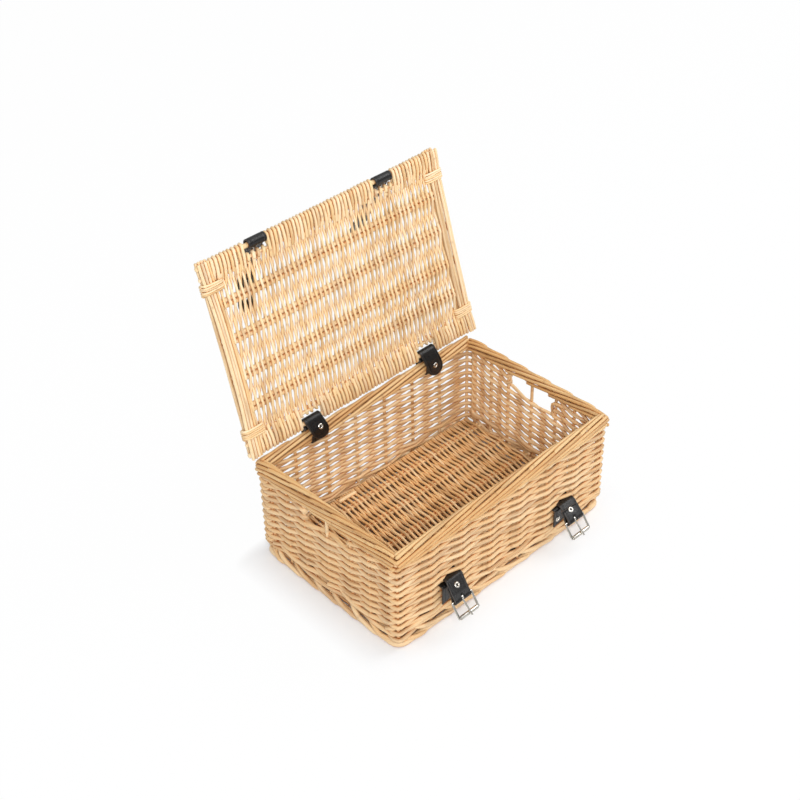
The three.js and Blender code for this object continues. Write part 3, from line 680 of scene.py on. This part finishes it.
def weave_lid():
    """Strands from the hinge edge to the free edge, each one a place to the right at every stick."""
    rods = Rods(17)
    rng = rods.random
    half = STRAND_PITCH * (LID_STRANDS - 1) / 2
    bow = wander(rng, 1.0)
    for j in range(-len(LID_STICKS), LID_STRANDS):
        x = -half + STRAND_PITCH * j
        side = 1 if j % 2 == 0 else -1
        path = [(-0.9, rng.uniform(14, 17), side * 2.4)]
        for i, u in enumerate(LID_STICKS):
            face = -side if i % 2 == 0 else side
            place = i + rng.uniform(-0.2, 0.2)
            path += [(place, u + part, face * 4.1) for part in (-STICK_APART, STICK_APART)]
        path.append((len(LID_STICKS) - 0.1, LID_SPAN - rng.uniform(14, 17), -side * 2.4))
        points = []
        for place, u, n in path:
            across = x + STRAND_PITCH * place
            if abs(across) < half + 1:
                across += bow(u / 40 + j * 0.035) * math.sin(math.pi * u / LID_SPAN)
                points.append(on_lid(across, u, n))
        if len(points) < 3:
            continue
        thick = STRAND * rng.uniform(0.9, 1.12)
        rods.add(smooth_path(points, 4.0), thick, thick * 0.93)
    edge_turns(rods, 0, 1, HINGE_STRAPS.values())
    edge_turns(rods, LID_SPAN, -1, [x - 2.5 for x in CLOSURES.values()])
    return rods


def lid_rods():
    rods = Rods(18)
    outer, inner = LID_HALF - 1.0, LID_HALF - 8.5
    places = [(0, EDGE_ROD, outer), (LID_SPAN, EDGE_ROD, outer), (SECOND_ROD, STICK, outer),
              (LID_SPAN - SECOND_ROD, STICK, outer)]
    places += [(u + part, LID_STICK, inner) for u in LID_STICKS for part in (-STICK_APART, STICK_APART)]
    for u, radius, ends in places:
        rods.add(smooth_path([on_lid(x, u, 0) for x in (-ends, 0, ends)], 20), radius, blunt=0.4)
    return rods


def lid_side_rods():
    rods = Rods(19)
    rng = rods.random
    places = [(170.0, 3.4), (171.0, -3.2), (174.2, 4.6), (175.3, -4.4),
              (178.5, 4.6), (179.4, -4.6), (182.7, 4.2), (183.5, -4.2)]
    bound = (BINDING_PLACE, LID_SPAN - BINDING_PLACE)
    for sx in (-1, 1):
        for x, n in places:
            sag = rng.uniform(1.0, 3.6)
            shape = []
            for u, pull in ((-4.5, -0.5), (8, -0.3), (bound[0], 0.2), (70, 0.8), (118, 1.0), (166, 0.8),
                            (bound[1], 0.2), (LID_SPAN - 8, -0.3), (LID_SPAN + 4.5, -0.5)):
                tight = 0.75 if u in bound else 1.0
                shape.append(on_lid(sx * (x - pull * sag), u, n * tight))
            rods.add(smooth_path(shape, 6), rng.uniform(2.0, 2.3), 1.95)
    return rods


def lid_skeins():
    rods = Rods(20)
    rng = rods.random
    for sx in (-1, 1):
        for u in (BINDING_PLACE, LID_SPAN - BINDING_PLACE):
            for turn in range(5):
                at = u - 5.2 + 2.5 * turn
                lean = rng.uniform(-0.7, 0.7)
                shape = []
                for deg in range(0, 361, 15):
                    a = math.radians(deg)
                    c, s = math.cos(a), math.sin(a)
                    x = 173.5 + 13.6 * math.copysign(abs(c) ** 0.55, c)
                    n = (6.6 if s > 0 else 5.4) * math.copysign(abs(s) ** 0.6, s)
                    shape.append(on_lid(sx * x, at + lean * c + 2.5 * deg / 360 - 1.2, n))
                rods.add(shape, 1.35, blunt=0)
    return rods


def willow_work():
    ends = ("front", "back", "left", "right")
    corners = [f"corner_post_{a}_{b}" for a in ("front", "back") for b in ("left", "right")]
    weave_walls().make("wall_weave", "basket", [f"{e}_wall" for e in ends])
    wall_stakes().make("wall_stakes", "basket", corners)
    weave_border().make("border", "basket", [f"{e}_rim_and_stakes" for e in ends], BORDER_BUFF)
    weave_foot().make("foot", "basket", ["foot_wale"])
    weave_floor().make("floor_weave", "basket", ["base_panel"], FLOOR_BUFF, slot="willow_base")
    floor_sticks().make("floor_sticks", "basket", [f"base_stick_{i}" for i in range(1, 6)], FLOOR_BUFF)
    weave_lid().make("lid_weave", "lid", ["lid_panel"], LID_BUFF)
    rods = ["lid_back_rod", "lid_front_rod", "lid_back_second_rod", "lid_front_second_rod"]
    lid_rods().make("lid_rods", "lid", rods + [f"lid_stick_{i}" for i in range(1, 5)], LID_BUFF)
    lid_side_rods().make("lid_side_rods", "lid", ["lid_side_bundle_left", "lid_side_bundle_right"], LID_BUFF)
    bindings = [f"lid_binding_{a}_{b}" for a in ("back", "front") for b in ("left", "right")]
    lid_skeins().make("lid_skeins", "lid", bindings, LID_BUFF)


# leather and metal

def dressed_node(node, finish, body, round_by):
    """A copy of a CAD node with its edges rounded."""
    piece = new_piece(node + "_dressed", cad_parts[node].data.copy())
    shape = bmesh.new()
    shape.from_mesh(piece.data)
    bmesh.ops.remove_doubles(shape, verts=shape.verts, dist=1e-6)
    bmesh.ops.dissolve_limit(shape, angle_limit=0.02, verts=shape.verts, edges=shape.edges)
    shape.to_mesh(piece.data)
    shape.free()
    bevel = piece.modifiers.new("rounded", "BEVEL")
    bevel.width = round_by * MM
    bevel.segments = 3
    bevel.limit_method = "ANGLE"
    bevel.angle_limit = math.radians(38)
    apply_modifiers(piece)
    piece.data.materials.clear()
    piece.data.materials.append(finish)
    piece.data.shade_smooth()
    settle(piece, body, [node])


def turned(points, deg, y, z):
    """Points of a (y, z) outline, turned about the origin and moved to (y, z)."""
    c, s = math.cos(math.radians(deg)), math.sin(math.radians(deg))
    return [(y + a * c - b * s, z + a * s + b * c) for a, b in points]


def loop_path(radius, throat, layer):
    """A strap's loop round a rod at (0, 0): its two layers meet below, at the throat."""
    tangent = math.atan2(-throat, layer) + math.acos(radius / math.hypot(layer, throat))
    sweep = math.pi - 2 * tangent
    angles = [tangent + sweep * i / 16 for i in range(17)]
    ring = [(radius * math.cos(a), radius * math.sin(a)) for a in angles]
    return [(layer, -throat), *ring, (-layer, -throat)]


def rounded(points, radius, steps=5):
    """The path with each inner corner turned into a curve."""
    path = [points[0]]
    for before, corner, after in zip(points, points[1:], points[2:]):
        corner = np.array(corner, float)
        back, ahead = np.array(before) - corner, np.array(after) - corner
        back, ahead = back / np.linalg.norm(back), ahead / np.linalg.norm(ahead)
        half = math.acos(max(-1, min(1, float(back @ ahead)))) / 2
        reach = radius / math.tan(half)
        for t in np.arange(steps + 1) / steps:
            path.append(tuple(corner + back * reach * (1 - t) ** 2 + ahead * reach * t ** 2))
    return path + [points[-1]]


# columns of a strap's mesh from its edge to its middle, and rows near its ends, in millimetres
FROM_EDGE = [0, 0.12, 0.4, 0.8, 1.5, 2.2, 2.7, 3.1, 3.5, 4.0, 5.5, 8, 10.5, 13]
FROM_END = [0, 0.1, 0.3, 0.6, 1.0, 1.6, 2.3, 3.1, 4.0]
EDGE_ROUND, WORN_EDGE = 0.8, 1.5
LINE_INSET, LINE_WIDTH, LINE_DEPTH = 3.1, 0.5, 0.35
SLANT, SLANT_LENGTH = 8.0, 16


class Strap:
    """A leather strap, as strips swept along paths in (y, z)."""

    def __init__(self):
        self.shape = bmesh.new()
        self.edge = self.shape.verts.layers.float.new("edge")
        self.line = self.shape.verts.layers.float.new("line")

    def add(self, x, path, ends=("square", "square")):
        """One strip; an end is square, round or slant, and x may be (distance, x) pairs along it."""
        half = STRAP_WIDTH / 2
        given = np.array(path, float)
        run = np.concatenate([[0], np.cumsum(np.linalg.norm(np.diff(given, axis=0), axis=1))])
        stations = np.concatenate([FROM_END, np.arange(5.0, run[-1] - 4.5, 1.0),
                                   run[-1] - np.array(FROM_END[::-1])])
        across = [d - half for d in FROM_EDGE] + [half - d for d in FROM_EDGE[-2::-1]]
        grids = ([], [])
        middle = [(0, x), (1, x)] if isinstance(x, (int, float)) else x
        for s in stations:
            rows = ([], [])
            x = np.interp(s, *zip(*middle))
            for a in across:
                wide, clear, at = a, half - abs(a), s
                for end, gone in zip(ends, (s, run[-1] - s)):
                    if end == "round" and gone < half:
                        reach = math.sqrt(max(0.0, half ** 2 - (half - gone) ** 2))
                        wide = a * reach / half
                        clear = min(clear, half - math.hypot(half - gone, wide))
                    else:
                        clear = min(clear, gone)
                    if end == "slant" and gone < SLANT_LENGTH:
                        shift = (SLANT_LENGTH - gone) / SLANT_LENGTH * SLANT * (a + half) / STRAP_WIDTH
                        at = at + shift if gone == s else at - shift
                (y0, y, y1), (z0, z, z1) = (np.interp((at - 0.4, at, at + 0.4), run, column)
                                            for column in given.T)
                dy, dz = y1 - y0, z1 - z0
                size = math.hypot(dy, dz) + 1e-9
                thick = LEATHER / 2 * math.sqrt(1 - (1 - min(max(clear, 0) / EDGE_ROUND, 1)) ** 2)
                line = math.exp(-((clear - LINE_INSET) / LINE_WIDTH) ** 2)
                thick -= LINE_DEPTH * line
                for row, sign in zip(rows, (1, -1)):
                    vert = self.shape.verts.new(Vector((x + wide, y - sign * thick * dz / size,
                                                        z + sign * thick * dy / size)) * MM)
                    vert[self.edge] = max(0.0, 1 - clear / WORN_EDGE)
                    vert[self.line] = line
                    row.append(vert)
            for grid, row in zip(grids, rows):
                grid.append(row)
        for grid, flip in zip(grids, (True, False)):
            for low, high in zip(grid, grid[1:]):
                for i in range(len(low) - 1):
                    corners = (low[i], low[i + 1], high[i + 1], high[i])
                    self.shape.faces.new(corners[::-1] if flip else corners)

    def make(self, name, body, nodes, holes=()):
        bmesh.ops.remove_doubles(self.shape, verts=self.shape.verts, dist=2e-5)
        bmesh.ops.dissolve_degenerate(self.shape, edges=self.shape.edges, dist=1e-6)
        bmesh.ops.recalc_face_normals(self.shape, faces=self.shape.faces)
        mesh = bpy.data.meshes.new(name)
        self.shape.to_mesh(mesh)
        self.shape.free()
        piece = new_piece(name, mesh)
        if holes:
            punch(piece, holes)
        piece.data.materials.clear()
        piece.data.materials.append(BLACK)
        piece.data.shade_smooth()
        settle(piece, body, nodes)


def punch(piece, holes):
    """Cuts holes, each a place, a direction in (y, z) and the punch's half sizes along x and the strap."""
    tool = bmesh.new()
    for (x, y, z), (dy, dz), wide, tall in holes:
        along = Vector((0, dy, dz)).normalized()
        turn = Matrix((Vector((1, 0, 0)), along, Vector((1, 0, 0)).cross(along))).transposed().to_4x4()
        size = Matrix.Diagonal((wide * MM, tall * MM, 1, 1))
        bmesh.ops.create_cone(tool, cap_ends=True, segments=20, radius1=1, radius2=1, depth=4 * LEATHER * MM,
                              matrix=Matrix.Translation(Vector((x, y, z)) * MM) @ turn @ size)
    mesh = bpy.data.meshes.new("punch")
    tool.to_mesh(mesh)
    tool.free()
    cutter = new_piece("punch", mesh)
    modifier = piece.modifiers.new("holes", "BOOLEAN")
    modifier.operation, modifier.solver, modifier.object = "DIFFERENCE", "EXACT", cutter
    apply_modifiers(piece)
    bpy.data.objects.remove(cutter)


def hinge_strap(side):
    """A loop round the lid's back rod, a rounded flap with an eyelet, and a turn round the rim."""
    x = HINGE_STRAPS[side]
    throat = ROD_LOOP + LEATHER + GAP
    loop = turned(loop_path(ROD_LOOP, throat, LEATHER / 2), -39, HINGE_Y, HINGE_Z)
    if side == "left":
        tip, level, offset = [(103.9, 133.4), (106.3, 148.0)], 149.3, 5.0
    else:
        tip, level, offset = [(103.4, 125.4), (104.9, 142.0), (107.4, 149.5)], 140.8, 4.2
    across, up = HINGE_Y - tip[-1][0], tip[-1][1] - HINGE_Z
    leave = math.atan2(up, -across) - math.acos(ROD_LOOP / math.hypot(across, up))
    over = [(HINGE_Y + ROD_LOOP * math.cos(leave - t), HINGE_Z + ROD_LOOP * math.sin(leave - t))
            for t in np.arange(0, 4.2, 0.2)]
    back_top = loop[0]
    outside, crown, under, inside = 122.4, RIM_TOP + 1.4, 131.6, 106.6
    turn = [over[-1], back_top, (back_top[0] + LEATHER, crown), (outside - 2.5, crown),
            (outside, RIM_TOP - 2.5), (outside, under), (inside, under), (inside - 0.4, 141.5)]
    front = rounded([*tip, over[0]], 6)
    drop = float(sum(np.linalg.norm(np.subtract(b, a)) for a, b in zip(front, front[1:])))
    strap = Strap()
    strap.add([(0, x + 6.5), (drop, x), (drop + 30, x), (drop + 70, x + 4)],
              front + over[1:-1] + rounded(turn, 1.4), ("round", "square"))
    strap.make(f"hinge_strap_leather_{side}", "basket", [f"hinge_strap_{side}"])
    below = max((p for p in front if p[1] < level), key=lambda p: p[1])
    above = min((p for p in front if p[1] >= level), key=lambda p: p[1])
    way = np.subtract(above, below) / np.linalg.norm(np.subtract(above, below))
    spot = np.array(below) + way * (level - below[1]) / way[1] + np.array((-way[1], way[0])) * LEATHER / 2
    return (x + offset, *spot), (0, -way[1], way[0])


def buckle_strap(side):
    """A strap laced through the front wall: a tail on the wall, and a tab folded round the buckle's bar."""
    x, height = BUCKLES[side]
    low, high = height - LACE_SPACING / 2, height + LACE_SPACING / 2
    slope = math.radians(TAB_SLOPE)
    root_y, tail_y, inside_y = -123.2, -122.4, -106.6
    bar_y, bar_z = root_y - TAB_LENGTH * math.sin(slope), high - TAB_LENGTH * math.cos(slope)
    root, rivet, tail_x = (high - 3.5, 15.0, x - 1) if side == "left" else (high - 7.5, 11.5, x - 4)
    ring = FRAME_WIRE + GAP + LEATHER / 2
    throat = ring + 1.5 * LEATHER
    fold = turned([(a, -b) for a, b in loop_path(ring, throat, LEATHER / 2)], -TAB_SLOPE, bar_y, bar_z)[::-1]
    under = turned([(LEATHER / 2, throat), (LEATHER / 2, rivet + 4)], -TAB_SLOPE, bar_y, bar_z)
    strap = Strap()
    strap.add(tail_x, rounded([(tail_y, low - 26), (tail_y, low), (inside_y, low), (inside_y, low + 7)], 1.5),
              ("slant", "square"))
    tab = rounded([(inside_y - 0.5, low + 1), (inside_y - 0.5, root), (root_y, root), fold[0]], 2.4)
    strap.add([(0, x + 4), (20, x + 4), (32, x + 2), (45, x), (80, x)], tab + fold[1:-1] + under)
    slot = turned([(0, -2.2)], -TAB_SLOPE, bar_y, bar_z)[0]
    down = turned([(0, -1)], -TAB_SLOPE, 0, 0)[0]
    strap.make(f"buckle_strap_leather_{side}", "basket", [f"buckle_strap_{side}"],
               [((x, *slot), down, 2.3, 7.0)])
    top, foot = np.array((root_y, root)), np.array(fold[0])
    way = (top - foot) / np.linalg.norm(top - foot)
    facing = np.array((-way[1], way[0]))
    spot = foot + way * (rivet - throat) + facing * LEATHER / 2
    eyelets = [((x + 1.5, *spot), (0, *facing))]
    if side == "right":
        eyelets.append(((tail_x - 7.0, tail_y - LEATHER / 2, low - 15), (0, -1, 0)))
    return eyelets


def closure_strap(side):
    """A loop round the lid's front rod, doubled below it, and a tail with holes behind the open lid."""
    x = on_lid(CLOSURES[side], LID_SPAN, 0)[0]
    rod_y, rod_z = on_lid(0, LID_SPAN, 0)[1:]
    throat = ROD_LOOP + 1.5 * LEATHER
    loop = loop_path(ROD_LOOP, throat, LEATHER / 2)
    droop = -0.003 if side == "left" else 0.0002
    bend = lambda drop: LEATHER / 2 + droop * max(0, drop - 16) ** 2
    tail = [(bend(drop), -drop) for drop in range(CLOSURE_LENGTH, 17, -4)]
    path = tail + loop + [(-LEATHER / 2, -17)]
    strap = Strap()
    strap.add(x, turned(path, CLOSURE_LEAN, rod_y, rod_z), ("round", "square"))
    down = turned([(0, -1)], CLOSURE_LEAN, 0, 0)[0]
    holes = [((x, *turned([(bend(drop), -drop)], CLOSURE_LEAN, rod_y, rod_z)[0]), down, 2.2, 2.2)
             for drop in CLOSURE_HOLES]
    body = f"closure_strap_{side}"
    strap.make(f"closure_strap_leather_{side}", body, [f"closure_strap_{side}"], holes)
    spot = turned([(-LEATHER, -13.5)], CLOSURE_LEAN, rod_y, rod_z)[0]
    facing = turned([(-1, 0)], CLOSURE_LEAN, 0, 0)[0]
    set_eyelets(f"closure_eyelet_{side}", body, [f"closure_rivet_{side}"], [((x, *spot), (0, *facing))])


def eyelet_pattern():
    """One eyelet: a rolled flange with a hollow middle, turned about Z."""
    profile = [(1.35, -1.6), (1.4, 0.2), (1.65, 0.75), (2.2, 1.05),
               (2.9, 0.95), (3.5, 0.55), (3.8, 0.05), (3.5, -0.2)]
    count = 28
    angles = [2 * math.pi * i / count for i in range(count)]
    shape = bmesh.new()
    rings = [[shape.verts.new((r * MM * math.cos(a), r * MM * math.sin(a), h * MM)) for a in angles]
             for r, h in profile]
    for low, high in zip(rings, rings[1:]):
        for i in range(count):
            shape.faces.new((low[i], low[(i + 1) % count], high[(i + 1) % count], high[i]))
    bmesh.ops.recalc_face_normals(shape, faces=shape.faces)
    mesh = bpy.data.meshes.new("eyelet_pattern")
    shape.to_mesh(mesh)
    shape.free()
    mesh.shade_smooth()
    return bpy.data.objects.new("eyelet_pattern", mesh)


def eyelet_tree():
    """Geometry nodes: the eyelet pattern on every point, facing the way the point says."""
    inputs = (("Eyelet", "Object"), ("Metal", "Material"))
    build, (points, pattern, finish) = new_geometry_tree("eyelets", inputs)
    eyelet = build.node("GeometryNodeObjectInfo", {}, {"Object": pattern}, "Geometry")
    facing = build.node("GeometryNodeInputNamedAttribute", {"data_type": "FLOAT_VECTOR"}, {"Name": "facing"})
    turn = build.node("FunctionNodeAlignRotationToVector", {"axis": "Z"}, {"Vector": facing})
    copies = build.node("GeometryNodeInstanceOnPoints", {},
                        {"Points": points, "Instance": eyelet, "Rotation": turn})
    copies = build.node("GeometryNodeRealizeInstances", {}, {"Geometry": copies})
    copies = build.node("GeometryNodeSetMaterial", {}, {"Geometry": copies, "Material": finish})
    build.node("NodeGroupOutput", {}, {0: copies})
    return build.tree


EYELET = eyelet_pattern()
EYELET_TREE = eyelet_tree()


def set_eyelets(name, body, nodes, places):
    mesh = bpy.data.meshes.new(name)
    mesh.from_pydata([tuple(c * MM for c in place) for place, _ in places], [], [])
    facing = np.array([way for _, way in places], np.float32)
    mesh.attributes.new("facing", "FLOAT_VECTOR", "POINT").data.foreach_set("vector", facing.ravel())
    piece = new_piece(name, mesh)
    apply_tree(piece, EYELET_TREE, {"Eyelet": EYELET, "Metal": NICKEL})
    settle(piece, body, nodes)


def leather_and_metal():
    sides = ("left", "right")
    hinge_eyelets = [hinge_strap(side) for side in sides]
    set_eyelets("hinge_eyelets", "basket", [f"hinge_rivet_{side}" for side in sides], hinge_eyelets)
    buckle_eyelets = [eyelet for side in sides for eyelet in buckle_strap(side)]
    set_eyelets("buckle_eyelets", "basket", [f"buckle_rivet_{side}" for side in sides], buckle_eyelets)
    for side in sides:
        closure_strap(side)
        for part in ("frame", "prong", "roller"):
            dressed_node(f"buckle_{part}_{side}", NICKEL, f"buckle_{part}_{side}", 0.25)
    bpy.data.objects.remove(EYELET)


# studio

def place_camera():
    """The photograph's camera: its angles in degrees, place in millimetres, focal length in pixels of 800."""
    turn, rise, roll = (math.radians(deg) for deg in (-42.947, 37.865, -1.485))
    focal = 1450.0
    back = Vector((math.sin(turn) * math.cos(rise), -math.cos(turn) * math.cos(rise), math.sin(rise)))
    right = (-back).cross(Vector((0, 0, 1))).normalized()
    up = right.cross(-back)
    rolled = math.cos(roll) * right + math.sin(roll) * up
    rolled_up = -math.sin(roll) * right + math.cos(roll) * up
    data = bpy.data.cameras.new("camera")
    data.sensor_width = 36
    data.lens = focal / 800 * 36
    data.clip_end = 100
    camera = new_piece("camera", data)
    facing = Matrix((rolled, rolled_up, back)).transposed().to_4x4()
    camera.matrix_world = Matrix.Translation(Vector((-936.6, -947.3, 1236.2)) * MM) @ facing
    bpy.context.scene.camera = camera


def soft_lamp(name, place, aim, size, power):
    data = bpy.data.lights.new(name, "AREA")
    data.shape = "DISK"
    data.size = size
    data.energy = power
    lamp = new_piece(name, data)
    lamp.location = place
    lamp.rotation_euler = (Vector(aim) - Vector(place)).to_track_quat("-Z", "Y").to_euler()


def studio_floor():
    """The floor: painted brown shade under the basket, shadowed round it, and white to the camera farther out.
    """
    mesh = bpy.data.meshes.new("floor")
    mesh.from_pydata([(-30, -30, 0), (30, -30, 0), (30, 30, 0), (-30, 30, 0)], [], [(0, 1, 2, 3)])
    ground = new_piece("floor", mesh)
    material, tree = new_material("pale_floor")
    camera, glossy, through = (tree.node("ShaderNodeLightPath", {}, {}, f"Is {ray} Ray")
                               for ray in ("Camera", "Glossy", "Transmission"))
    place = tree.node("ShaderNodeTexCoord", {}, {}, "Object")
    side = tree.node("ShaderNodeSeparateXYZ", {}, {0: place})
    depth = Value(tree, side.socket.node.outputs[1])
    beyond_x = (abs(side) - 0.175).at_least(0.0)
    beyond_y = (depth * 2.5 - 0.29).at_least((-0.116 - depth).at_least(0.0))
    beyond = (beyond_x ** 2 + beyond_y ** 2) ** 0.5
    white = (camera + glossy + through).ramp(0.0, 1.0) * beyond.ramp(0.0, 0.05, 0.0, 0.97)
    # Painted shadow: the floor under the basket is dark brown, standing in for the shade seen through the floor
    # weave.
    outside = (abs(side) - 0.159).at_least(abs(depth) - 0.1).ramp(0.0, 0.004)
    shade = tree.mix(outside, (0.42, 0.28, 0.18, 1), (0.875, 0.9, 0.93, 1))
    matt = tree.node("ShaderNodeBsdfDiffuse", {}, {"Color": shade})
    glow = tree.node("ShaderNodeEmission", {}, {"Color": (1, 1, 1, 1), "Strength": 1.0})
    mixed = tree.node("ShaderNodeMixShader", {}, {0: white, 1: matt, 2: glow})
    tree.node("ShaderNodeOutputMaterial", {}, {"Surface": mixed})
    mesh.materials.append(material)


def studio_light():
    """White to the camera, soft light on the object, and a room that is darker low down for shiny metal."""
    world = bpy.data.worlds.new("studio")
    bpy.context.scene.world = world
    world.use_nodes = True
    world.node_tree.nodes.clear()
    tree = Tree(world.node_tree)
    rays = tree.node("ShaderNodeLightPath", {}, {}, "Is Camera Ray")
    shiny = tree.node("ShaderNodeLightPath", {}, {}, "Is Glossy Ray")
    way = tree.node("ShaderNodeTexCoord", {}, {}, "Generated")
    way = Value(tree, tree.node("ShaderNodeSeparateXYZ", {}, {0: way}).socket.node.outputs[2])
    room, soft, white = (tree.node("ShaderNodeBackground", {}, {"Color": (1, 1, 1, 1), "Strength": strength})
                         for strength in (way.ramp(0.2, 0.6, 0.1, 1.0), 0.55, 1.0))
    mixed = tree.node("ShaderNodeMixShader", {}, {0: shiny, 1: soft, 2: room})
    mixed = tree.node("ShaderNodeMixShader", {}, {0: rays, 1: mixed, 2: white})
    tree.node("ShaderNodeOutputWorld", {}, {"Surface": mixed})
    soft_lamp("key", (-1.4, -1.75, 1.95), (0, 0, 0.1), 1.2, 47)
    soft_lamp("fill", (1.7, -0.6, 1.9), (0, 0, 0.1), 1.6, 22)
    bpy.context.scene.view_settings.view_transform = "Standard"


place_camera()
willow_work()
leather_and_metal()
studio_floor()
studio_light()

bpy.context.view_layer.update()
